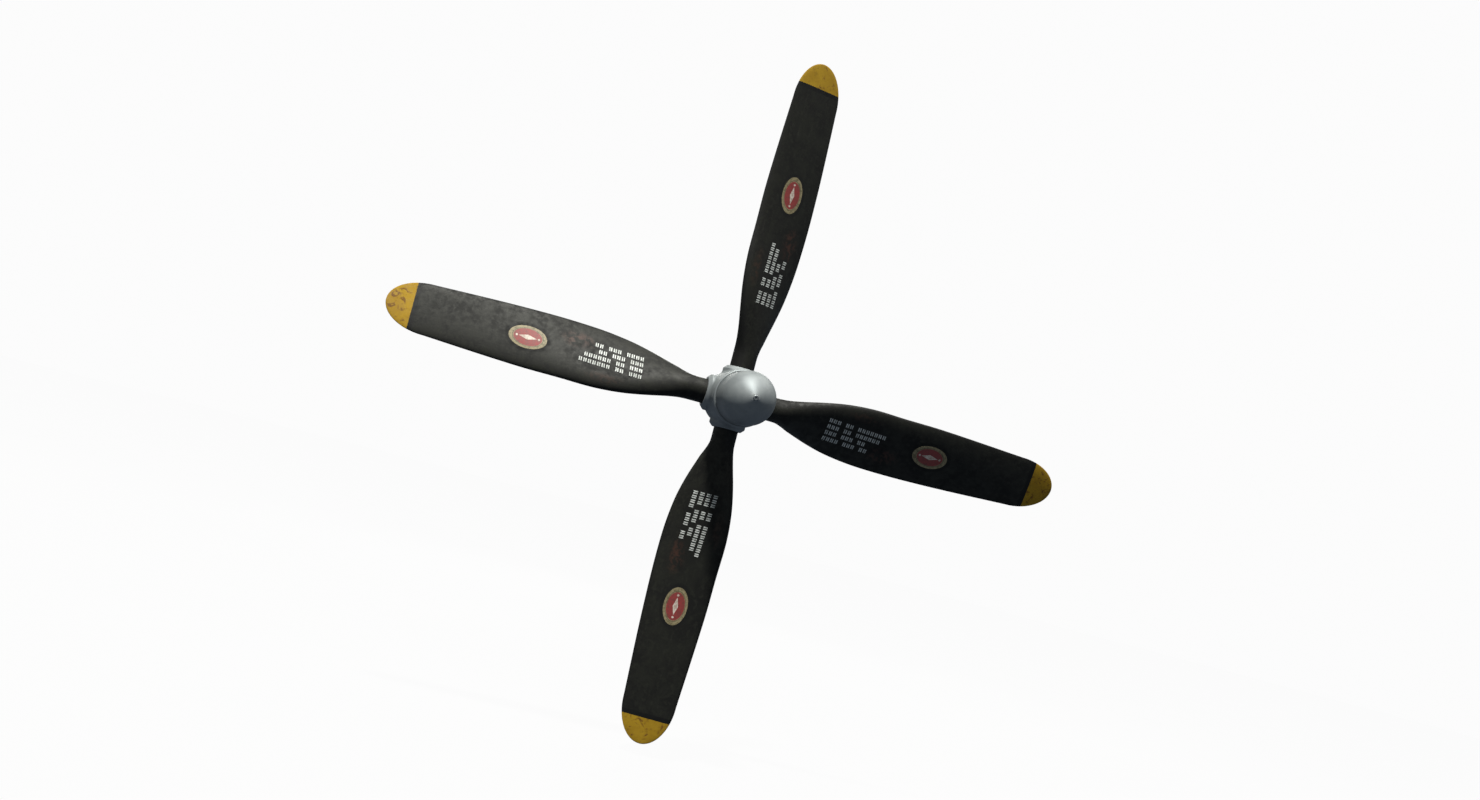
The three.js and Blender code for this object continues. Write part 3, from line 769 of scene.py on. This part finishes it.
# Stencilled rows: # is a mark, which is a pair of upright bars, and a space is a gap.
STENCIL_ROWS = ["### ## #######", "### ## ######", "### ### ##", "#### ### ##"]
STENCIL_START = 515
FIRST_ROW_ACROSS = 33
ROW_PITCH = 32
ROW_LEAN = -0.047
MARK_PITCH = 24.3
BAR_WIDTH = 6.2
BAR_HEIGHT = 20
BARS = (0, 10.2)  # where the two bars of a mark start

EMBLEM_SIZE = (100, 59)
EMBLEM_SPOKES = 72
EMBLEM_RINGS = 16


def thicken(obj):
    """Makes a thin closed layer out of a patch that lies on a surface."""
    solidify = obj.modifiers.new("paint_depth", "SOLIDIFY")
    solidify.thickness = PAINT_DEPTH * MM
    solidify.offset = -1
    apply_modifiers(obj)
    smooth(obj, 40)


def bar_patch(out, across):
    """A grid of places for one bar, given its middle: three places out and five across."""
    places_out = out + BAR_WIDTH * np.linspace(-0.5, 0.5, 3)
    places_across = across + BAR_HEIGHT * np.linspace(-0.5, 0.5, 5)
    return np.meshgrid(places_out, places_across, indexing="ij")


def stencil_bars():
    """The middle of every bar on a blade: distances out and across."""
    for row, marks in enumerate(STENCIL_ROWS):
        for place, mark in enumerate(marks):
            if mark == " ":
                continue
            for start in BARS:
                out = STENCIL_START + place * MARK_PITCH + start + BAR_WIDTH / 2
                top = FIRST_ROW_ACROSS - row * ROW_PITCH + ROW_LEAN * (out - STENCIL_START)
                yield out, top - BAR_HEIGHT / 2


def stencil_layer():
    """Points and faces of small bars in rows on the front of the +X blade."""
    patches = [bar_patch(*bar) for bar in stencil_bars()]
    rows, columns = patches[0][0].shape
    points = on_front_face(*np.concatenate(patches, axis=1))
    bar_faces = grid_faces(rows, columns, around=False)
    starts = range(0, len(points), rows * columns)
    return points, [tuple(start + corner for corner in face) for start in starts for face in bar_faces]


def emblem_layer():
    """Points and faces of an oval on the front of the +X blade."""
    share, angle = np.meshgrid(np.linspace(0, 1, EMBLEM_RINGS), circle(EMBLEM_SPOKES), indexing="ij")
    out = EMBLEM_CENTRE[0] + EMBLEM_SIZE[0] * share * np.cos(angle)
    across = EMBLEM_CENTRE[1] + EMBLEM_SIZE[1] * share * np.sin(angle)
    return on_front_face(out, across), grid_faces(EMBLEM_RINGS, EMBLEM_SPOKES)


def stencil_mesh(index, layer):
    """The stencilled rows of one blade."""
    obj = mesh_object(f"stencil_marks_{index + 1}", *layer)
    turn_to_blade(obj, index)
    thicken(obj)
    return obj


def emblem_mesh(index, layer):
    """The emblem, with the place of each point in the oval stored for its print."""
    obj = mesh_object(f"oval_emblem_{index + 1}", *layer)
    out, _, across = points_of(obj).T
    along_oval = (out - EMBLEM_CENTRE[0]) / EMBLEM_SIZE[0]
    across_oval = (across - EMBLEM_CENTRE[1]) / EMBLEM_SIZE[1]
    store(obj, "oval", "FLOAT_VECTOR", np.stack([along_oval, across_oval, 0 * out], 1))
    turn_to_blade(obj, index)
    thicken(obj)
    return obj


def build_blades():
    """The four blades, each with its rows of marks and its emblem riding on it."""
    stencil, emblem = stencil_layer(), emblem_layer()
    for index in range(BLADES):
        body = f"blade_{index + 1}"
        install(blade_mesh(index), body, BLADE_PAINT, [body])
        install(stencil_mesh(index, stencil), body, STENCIL_PAINT)
        install(emblem_mesh(index, emblem), body, EMBLEM_PRINT)


# ---- Dome, its nut and its plug ----

DOME_RADIUS = 140.5
DOME_WALL = 6
DOME_FLANGE_FRONT = 148.7
DOME_SHOULDER = 345
NOSE_BULGE = 455  # how far forward the nose's curve is drawn out
NOSE_STEPS = 40
DOME_SEGMENTS = 192
PLUG_MARGIN = 1  # how far the flat at the dome's tip reaches past the plug's head

NUT_BORE = 141
NUT_THREAD = 144.5
NUT_SHOULDER = 172.3
NUT_CHAMFER = 6

PLUG_BODY = 11
PLUG_CHAMFER = 3
PLUG_SOCKET = 6
PLUG_SOCKET_DEPTH = 5
PLUG_SEGMENTS = 64


def nose(depth, tip_radius):
    """The curve from the dome's cylinder to its tip, set in by the given depth."""
    radius = DOME_RADIUS - depth
    for t in np.linspace(0, 1, NOSE_STEPS + 1):
        first, second, third = (1 - t) ** 2, 2 * t * (1 - t), t**2
        forward = first * DOME_SHOULDER + second * (NOSE_BULGE - depth) + third * (DOME_TIP - depth)
        yield radius * (first + second) + tip_radius * third, forward


def build_dome():
    """The dome's shell: a flange, a cylinder and a blunt nose with a hole for the plug."""
    hole = PLUG_BODY + GAP
    profile = [
        (DOME_RADIUS - DOME_WALL, DOME_REAR), (DOME_FLANGE, DOME_REAR), (DOME_FLANGE, DOME_FLANGE_FRONT),
        (DOME_RADIUS, DOME_FLANGE_FRONT), *nose(0, PLUG_HEAD + PLUG_MARGIN), (hole, DOME_TIP),
        *reversed(list(nose(DOME_WALL, hole))),
    ]
    dome = turned("polished_dome", profile, DOME_SEGMENTS)
    smooth(dome, 30)
    install(dome, HUB, HUB_PAINT, ["dome_shell"])


def build_dome_nut():
    """The ring that screws into the barrel's neck and holds the dome's flange."""
    profile = [
        (NUT_BORE, NUT_REAR), (NUT_THREAD, NUT_REAR), (NUT_THREAD, NUT_SHOULDER), (NUT_RADIUS, NUT_SHOULDER),
        (NUT_RADIUS, NUT_FRONT - NUT_CHAMFER), (NUT_RADIUS - NUT_CHAMFER, NUT_FRONT), (NUT_BORE, NUT_FRONT),
    ]
    nut = turned("dome_ring_nut", profile, DOME_SEGMENTS)
    smooth(nut)
    rounded_edges(nut, width=1.0)
    install(nut, HUB, HUB_PAINT, ["dome_nut"])


def build_dome_plug():
    """The plug in the dome's tip, with a round socket in its head."""
    under_head = DOME_TIP + GAP
    socket_floor = PLUG_TIP - PLUG_SOCKET_DEPTH
    profile = [
        (0, PLUG_REAR), (PLUG_BODY, PLUG_REAR), (PLUG_BODY, under_head), (PLUG_HEAD, under_head),
        (PLUG_HEAD, PLUG_TIP - PLUG_CHAMFER), (PLUG_HEAD - PLUG_CHAMFER, PLUG_TIP), (PLUG_SOCKET, PLUG_TIP),
        (PLUG_SOCKET, socket_floor), (0, socket_floor),
    ]
    plug = turned("dome_tip_plug", profile, PLUG_SEGMENTS, closed=False)
    smooth(plug)
    rounded_edges(plug, width=0.6)
    install(plug, HUB, PLUG_STEEL, ["dome_plug"])


# ---- Barrel: its forged surface as distances in millimetres, negative inside the metal ----

PAST = 1  # how far a room reaches past the face that it opens in
BODY_RADIUS = 150
BODY_FACE = 112
BODY_CHAMFER = 26
COLLAR_RADIUS = 96
COLLAR_FACE = 78
COLLAR_CHAMFER = 18
FILLET = 11
EDGE = 2.2
SEAM_EDGE = 1.2

SHAFT_HOLE = 76
CAVITY_RADIUS = 116
CAVITY_REAR = -88
CAVITY_FRONT = 126
NECK_BORE = 145
COLLAR_CAVITY = 77.5
COLLAR_SHELF = 127.5
COLLAR_LIP = 66.5
GROOVE_RADIUS = 74.6
GROOVE = (148, 156)
BOLT_SEAT = -66
BOLT_HEAD_ROOM = 10.8
BOLT_HOLE = 6.5
BOLT_HOLE_END = 57

# Stepped bores: the radius, the start and the end of each step.
SHAFT_ROOM = [
    (SHAFT_HOLE, BODY_REAR - PAST, CAVITY_REAR),
    (CAVITY_RADIUS, CAVITY_REAR - PAST, CAVITY_FRONT),
    (NECK_BORE, CAVITY_FRONT - PAST, BODY_FRONT + PAST),
]
ARM_ROOM = [
    (COLLAR_CAVITY, -PAST, COLLAR_SHELF),
    (COLLAR_LIP, COLLAR_SHELF - PAST, COLLAR_END + PAST),
    (GROOVE_RADIUS, *GROOVE),
]
BOLT_ROOM = [(BOLT_HEAD_ROOM, BODY_REAR - PAST, BOLT_SEAT), (BOLT_HOLE, BOLT_SEAT - PAST, BOLT_HOLE_END)]

FINE_MESH = 2.6
SLOPE_STEP = 0.02
SURFACE_STEPS = 8
LEAST_STEEPNESS = 0.25


def joined(first, second):
    """The distance to two solids together, with a fillet between them."""
    near = np.maximum(FILLET - np.stack([first, second]), 0)
    return np.maximum(FILLET, np.minimum(first, second)) - np.hypot(*near)


def trimmed(first, second, edge=EDGE):
    """The distance to what two solids share, with its edges rounded."""
    over = np.maximum(edge + np.stack([first, second]), 0)
    return np.minimum(-edge, np.maximum(first, second)) + np.hypot(*over)


def past_line(radius, height, start, end):
    """How far a point is outside the line that a profile follows from start to end."""
    run, rise = end[0] - start[0], end[1] - start[1]
    return ((radius - start[0]) * rise - (height - start[1]) * run) / math.hypot(run, rise)


def room(radius, height, steps):
    """The distance to the space of a stepped bore."""
    return np.minimum.reduce([
        np.maximum.reduce([radius - wall, start - height, height - end]) for wall, start, end in steps
    ])


def arm_places(points):
    """For the arms along X and then those along Z: distance out, and distance from the arm's axis."""
    x, y, z = points.T
    return (np.abs(x), np.hypot(y, z)), (np.abs(z), np.hypot(y, x))


def collar(across, out):
    """The distance to a collar: a cylinder with a chamfered outer end."""
    slope = past_line(across, out, (COLLAR_RADIUS, COLLAR_END - COLLAR_CHAMFER), (COLLAR_FACE, COLLAR_END))
    return trimmed(trimmed(across - COLLAR_RADIUS, slope), out - COLLAR_END)


def barrel_distance(points):
    """The distance to both halves together: the body and its four collars, less the rooms inside them."""
    x, y, z = points.T
    radius, forward = np.hypot(x, z), -y
    chamfer = past_line(radius, forward, (BODY_FACE, BODY_REAR), (BODY_RADIUS, BODY_REAR + BODY_CHAMFER))
    outside = trimmed(trimmed(radius - BODY_RADIUS, chamfer), BODY_REAR - forward)
    outside = trimmed(outside, forward - BODY_FRONT)
    inside = room(radius, forward, SHAFT_ROOM)
    for out, across in arm_places(points):
        outside = joined(outside, collar(across, out))
        inside = np.minimum(inside, room(across, out, ARM_ROOM))
    for bolt in range(BOLTS):
        centre = sum(corners_of(f"barrel_bolt_{bolt + 1}")) / 2
        beside = np.hypot(x - centre[0], z - centre[2])
        inside = np.minimum(inside, room(beside, forward, BOLT_ROOM))
    return trimmed(outside, -inside)


def front_half(points):
    """The distance to the half ahead of the blades' axes."""
    return trimmed(barrel_distance(points), GAP / 2 + points[:, 1], SEAM_EDGE)


def rear_half(points):
    """The distance to the half behind the blades' axes."""
    return trimmed(barrel_distance(points), GAP / 2 - points[:, 1], SEAM_EDGE)


def slope_of(distance, points):
    """Which way the distance grows fastest, and how fast."""
    steps = np.eye(3) * SLOPE_STEP
    growth = [distance(points + step) - distance(points - step) for step in steps]
    return np.stack(growth, 1) / (2 * SLOPE_STEP)


def forged(name, node, distance):
    """A node's shape in a fine even mesh, moved onto the surface where the distance is zero."""
    obj = linked(name, frame["nodes"][node].data.copy())
    even = obj.modifiers.new("even_mesh", "REMESH")
    even.mode = "VOXEL"
    even.voxel_size = FINE_MESH * MM
    apply_modifiers(obj)
    points = points_of(obj)
    for _ in range(SURFACE_STEPS):
        slope = slope_of(distance, points)
        steepness = np.maximum((slope**2).sum(1), LEAST_STEEPNESS)
        step = np.clip(distance(points) / steepness, -FINE_MESH, FINE_MESH)
        points -= step[:, None] * slope
    obj.data.vertices.foreach_set("co", (points * MM).ravel())
    obj.data.polygons.foreach_set("use_smooth", [True] * len(obj.data.polygons))
    normals = slope_of(distance, points)
    normals /= np.linalg.norm(normals, axis=1)[:, None]
    obj.data.normals_split_custom_set_from_vertices(normals)
    return obj


def build_barrel():
    """Both halves of the housing that holds the blades."""
    for node, distance in (("barrel_front", front_half), ("barrel_rear", rear_half)):
        install(forged(f"forged_{node}", node, distance), HUB, HUB_PAINT, [node])


# ---- Barrel bolts ----

HEAD_SIDE = math.pi / 3
HEAD_FLAT = 0.866  # a flat's distance from the middle, as a share of a corner's
HEAD_RIM = 0.95  # where the chamfer starts, as a share of the flat's distance
HEAD_CHAMFER = math.tan(math.radians(30))
WASHER_FACE = 0.98
WASHER_HEIGHT = 1.2
BOLT_RADIUS = 6.0
BOLT_END_RADIUS = 5.0
BOLT_END_CHAMFER = 1
BOLT_SEGMENTS = 72


def bolt_mesh(number):
    """A bolt with a chamfered hexagonal head, a washer face and a turned shank."""
    low, high = corners_of(f"barrel_bolt_{number}")
    centre = (low + high) / 2
    rear, front = -high[1], -low[1]
    flat = (high[0] - low[0]) / 2 * HEAD_FLAT
    angles = circle(BOLT_SEGMENTS)
    hexagon = flat / np.cos((angles + HEAD_SIDE / 2) % HEAD_SIDE - HEAD_SIDE / 2)
    rim, washer = flat * HEAD_RIM, flat * WASHER_FACE
    chamfer = (hexagon - rim) * HEAD_CHAMFER
    seat = BOLT_SEAT - GAP
    profile = [
        (0, rear), (rim, rear), (hexagon, rear + chamfer), (hexagon, seat - WASHER_HEIGHT),
        (washer, seat - WASHER_HEIGHT), (washer, seat), (BOLT_RADIUS, seat),
        (BOLT_RADIUS, front - BOLT_END_CHAMFER), (BOLT_END_RADIUS, front), (0, front),
    ]
    rings = [ring(radius, forward, angles, centre[[0, 2]]) for radius, forward in profile]
    return mesh_object(f"hex_bolt_{number}", np.concatenate(rings), grid_faces(len(rings), BOLT_SEGMENTS))


def build_bolts():
    for number in range(1, BOLTS + 1):
        bolt = bolt_mesh(number)
        smooth(bolt)
        rounded_edges(bolt, width=0.25)
        install(bolt, HUB, DARK_STEEL, [f"barrel_bolt_{number}"])


# ---- Rear cone ----

CONE_BORE = 44
CONE_TAPER = 0.348
CONE_SEGMENTS = 160


def build_rear_cone():
    """The bronze ring in the back of the bore, which centres the hub on the engine's shaft."""
    small_end = CONE_RADIUS - CONE_TAPER * (CONE_FRONT - CONE_REAR)
    profile = [
        (CONE_BORE, CONE_REAR), (CONE_RADIUS, CONE_REAR), (small_end, CONE_FRONT), (CONE_BORE, CONE_FRONT),
    ]
    cone = turned("bronze_rear_cone", profile, CONE_SEGMENTS)
    smooth(cone)
    rounded_edges(cone, width=0.8)
    install(cone, HUB, BRONZE, ["rear_cone"])


# ---- CAD pieces that keep their shape ----


def finish_cad_nodes():
    """Gives every CAD node the finish of its slot, smooth round faces and rounded edges."""
    slots = {part["node"]: part["material_slot"] for part in frame["record"]["subparts"]}
    for name, obj in frame["nodes"].items():
        obj.data.materials.clear()
        obj.data.materials.append(SLOT_FINISHES[slots[name]])
        smooth(obj, 30)
        rounded_edges(obj, width=0.4)


# ---- Camera: in front of the propeller, to its left and a little below, and tilted ----

# Distances are in tip radii. The focal length and what is seen are in widths of the image.
CAMERA_AZIMUTH = math.radians(-11.96)
CAMERA_ELEVATION = math.radians(-3.81)
CAMERA_ROLL = math.radians(14.50)
CAMERA_DISTANCE = 4.523
TIP_RADIUS_SEEN = 0.23838  # at the hub
CAMERA_FOCUS = TIP_RADIUS_SEEN * CAMERA_DISTANCE
CAMERA_ASIDE = (-0.0175, 0.0027)
SENSOR = 36.0
FARTHEST_SEEN = 100  # metres


def camera_axes():
    """The directions to the picture's right, to its top, and from the object back to the camera."""
    back = Vector((
        math.sin(CAMERA_AZIMUTH) * math.cos(CAMERA_ELEVATION),
        -math.cos(CAMERA_AZIMUTH) * math.cos(CAMERA_ELEVATION),
        math.sin(CAMERA_ELEVATION),
    ))
    level = Vector((math.cos(CAMERA_AZIMUTH), math.sin(CAMERA_AZIMUTH), 0))
    right = Matrix.Rotation(CAMERA_ROLL, 3, back) @ level
    return right, back.cross(right), back


CAMERA_RIGHT, CAMERA_UP, CAMERA_BACK = camera_axes()


def build_camera():
    camera = bpy.data.cameras.new("camera")
    camera.sensor_width = SENSOR
    camera.lens = SENSOR * CAMERA_FOCUS
    camera.clip_end = FARTHEST_SEEN
    obj = bpy.data.objects.new("camera", camera)
    sideways = CAMERA_ASIDE[0] * CAMERA_RIGHT + CAMERA_ASIDE[1] * CAMERA_UP
    place = TIP_RADIUS * MM * (CAMERA_DISTANCE * CAMERA_BACK - sideways)
    axes = Matrix((CAMERA_RIGHT, CAMERA_UP, CAMERA_BACK)).transposed()
    obj.matrix_world = Matrix.Translation(place) @ axes.to_4x4()
    bpy.context.scene.collection.objects.link(obj)
    bpy.context.scene.camera = obj


# ---- Stage ----

FLOOR_DROP = 60
FLOOR_RADIUS = 60000
FLOOR_RINGS = (0, 0.1, 0.4, 1)
FLOOR_SEGMENTS = 96
FLOOR_DARK = (0.006, 0.006, 0.006)
FLOOR_LIGHT = (0.010, 0.010, 0.010)
FLOOR_GLOW = 0.962
WHITE = (1.0, 1.0, 1.0, 1.0)


def build_stage():
    """A pale round floor a little below the lowest blade. It glows as the surround does, and casts no light
    on the propeller."""
    height = np.full(FLOOR_SEGMENTS, -TIP_RADIUS - FLOOR_DROP)
    angles = circle(FLOOR_SEGMENTS)
    rings = [
        np.stack([share * FLOOR_RADIUS * np.cos(angles), share * FLOOR_RADIUS * np.sin(angles), height], 1)
        for share in FLOOR_RINGS
    ]
    floor = mesh_object("pale_floor", np.concatenate(rings), grid_faces(len(rings), FLOOR_SEGMENTS))
    finish = Finish("pale_floor")
    finish.set(base_color=finish.mix(finish.noise(0.4), FLOOR_DARK, FLOOR_LIGHT), roughness=0.95)
    finish.set(emission_color=WHITE, emission_strength=FLOOR_GLOW, specular_ior_level=0.0)
    floor.data.materials.append(finish.material)
    floor.visible_diffuse = False
    floor.visible_glossy = False


# ---- Light, laid out along the picture's own axes ----

SURROUND = (0.972, 0.972, 0.972)
LOW_SKY = (0.113, 0.134, 0.166)
HIGH_SKY = (0.27, 0.28, 0.265)
SKY_RISE = (-0.12, 0.6)  # the heights between which the low sky turns into the high one
LAMP_COLOUR = (1.0, 0.99, 0.93)
OVERHEAD_FORWARD = math.radians(19)
OVERHEAD_ASIDE = math.radians(5.5)


def build_sky():
    """Dim light from all round, brighter overhead and bluish below. The camera sees a pale surround."""
    world = bpy.data.worlds.new("studio_sky")
    bpy.context.scene.world = world
    world.use_nodes = True
    nodes = Nodes(world.node_tree)
    height = nodes.add("ShaderNodeVectorMath", operation="DOT_PRODUCT")
    nodes.feed(height.inputs[0], nodes.add("ShaderNodeTexCoord").outputs["Generated"])
    nodes.feed(height.inputs[1], CAMERA_UP)
    sky = nodes.mix(nodes.fade(height.outputs["Value"], *SKY_RISE), LOW_SKY, HIGH_SKY)
    seen = nodes.add("ShaderNodeLightPath").outputs["Is Camera Ray"]
    nodes.feed(world.node_tree.nodes["Background"].inputs["Color"], nodes.mix(seen, sky, SURROUND))


def from_hub(right, up, back):
    """A direction from the hub, by its parts along the picture's axes."""
    return (right * CAMERA_RIGHT + up * CAMERA_UP + back * CAMERA_BACK).normalized()


def disk_lamp(name, direction, distance, size, power):
    """A disk of light that faces the hub. Its distance and its size are in metres, and its power in watts."""
    place = distance * direction
    light = bpy.data.lights.new(name, "AREA")
    light.shape = "DISK"
    light.size = size
    light.energy = power
    light.color = LAMP_COLOUR
    obj = bpy.data.objects.new(name, light)
    obj.location = place
    obj.rotation_euler = (-place).to_track_quat("-Z", "Y").to_euler()
    obj.visible_camera = False
    bpy.context.scene.collection.objects.link(obj)


def build_light():
    """A lamp high above and a little ahead, a wide one to the right, and a wide one behind for the rear."""
    bpy.context.scene.view_settings.view_transform = "Standard"
    build_sky()
    overhead = from_hub(
        right=math.cos(OVERHEAD_FORWARD) * math.sin(OVERHEAD_ASIDE),
        up=math.cos(OVERHEAD_FORWARD) * math.cos(OVERHEAD_ASIDE),
        back=math.sin(OVERHEAD_FORWARD),
    )
    aside = from_hub(right=0.64, up=0.70, back=-0.32)
    behind = from_hub(right=0.0, up=0.2, back=-0.98)
    disk_lamp("overhead_lamp", overhead, distance=40, size=3.0, power=30000)
    disk_lamp("side_softbox", aside, distance=9, size=6.0, power=360)
    disk_lamp("rear_softbox", behind, distance=12, size=6.0, power=600)


build_stage()
build_light()
build_camera()
finish_cad_nodes()
build_blades()
build_dome()
build_dome_nut()
build_dome_plug()
build_barrel()
build_bolts()
build_rear_cone()
